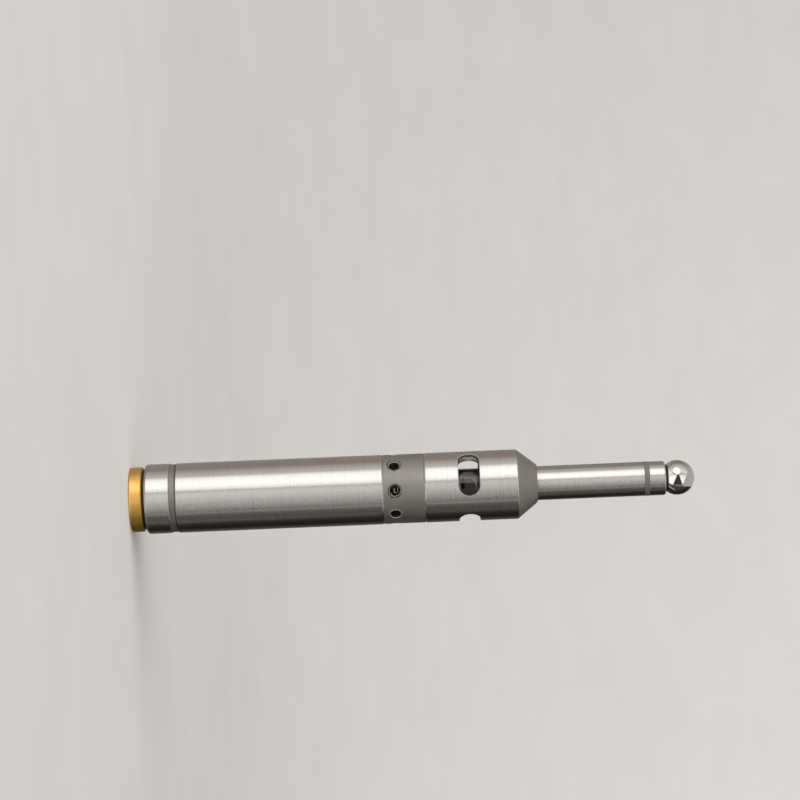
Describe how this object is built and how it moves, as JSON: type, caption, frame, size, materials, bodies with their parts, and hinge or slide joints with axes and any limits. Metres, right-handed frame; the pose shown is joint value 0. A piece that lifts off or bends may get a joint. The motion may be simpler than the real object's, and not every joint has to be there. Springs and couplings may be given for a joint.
{
  "type": "edge finder",
  "caption": "Electronic edge finder: cylindrical clamping shank with gold battery cap, sound-hole band, lamp windows and a sprung steel ball on an insulated nose.",
  "frame": {"origin": "centre of the flat rear face of the battery cap, on which the tool stands", "axes": "+Z along the tool's axis from the battery cap to the ball; -Y faces the middle of the shown side; the shown lamp window is 24.6 degrees from -Y towards -X"},
  "size_m": [0.02, 0.02, 0.1623],
  "materials": {
    "gold_anodised": "gold anodised, satin turned",
    "ground_steel": "cylindrically ground and polished",
    "matt_steel": "bead blasted, satin grey",
    "polished_ball": "mirror polished hardened steel",
    "black_rubber": "matt",
    "insulator": "turned grey-green plastic",
    "white_plastic": "moulded nylon",
    "black_plastic": "moulded",
    "spring_wire": "bright drawn wire",
    "brass": "plated brass",
    "cell_jacket": "plain sleeved steel can",
    "board": "solder mask on glass laminate",
    "ceramic_chip": "matt",
    "clear_epoxy": "clear moulded lens",
    "wire_red": "smooth insulation"
  },
  "bodies": {
    "housing": {"battery_rear": "cell_jacket", "battery_front": "cell_jacket", "shank_tube": "ground_steel", "vent_sleeve": "matt_steel", "front_contact_spring": "spring_wire", "contact_board": "board", "circuit_board": "board", "board_pins": "brass", "buzzer": "black_plastic", "board_transistor": "black_plastic", "board_resistors": "ceramic_chip", "board_capacitor": "ceramic_chip", "led_leadframe": "spring_wire", "led_lens": "clear_epoxy", "led_holder": "black_plastic", "front_housing": "ground_steel", "nose_tube": "ground_steel", "anchor_plug": "white_plastic", "anchor_hook": "brass", "insulating_liner": "white_plastic", "insulating_bush": "insulator", "ball_seat": "ground_steel", "signal_lead": "wire_red"},
    "cap_seal": {"cap_o_ring": "black_rubber"},
    "cap": {"end_cap": "gold_anodised", "cap_contact_spring": "spring_wire"},
    "pull_spring": {"tension_spring": "spring_wire"},
    "ball": {"probe_ball": "polished_ball", "ball_stem": "ground_steel"}
  },
  "joints": [
    {"name": "cap_travel", "type": "slide", "parent": "housing", "child": "cap_seal", "axis": [0, 0, -1], "range_m": [0, 0.005]},
    {"name": "cap_turn", "type": "hinge", "parent": "cap_seal", "child": "cap", "pos_m": [0, 0, 0], "axis": [0, 0, -1], "range_deg": [0, 1800]},
    {"name": "ball_pull", "type": "slide", "parent": "housing", "child": "pull_spring", "axis": [0, 0, 1], "range_m": [0, 0.004], "stiffness_N_per_m": 300, "springref_m": -0.008, "deforming": ["tension_spring"]},
    {"name": "ball_tip", "type": "hinge", "parent": "pull_spring", "child": "ball", "pos_m": [0.0035, 0, 0.15373], "axis": [0, 1, 0], "range_deg": [0, 20], "stiffness_Nm_per_rad": 0.03, "springref_deg": -13.75}
  ],
  "couplings": [
    {"joint": "cap_travel", "follows": "cap_turn", "m_per_rad": 0.00015915}
  ]
}
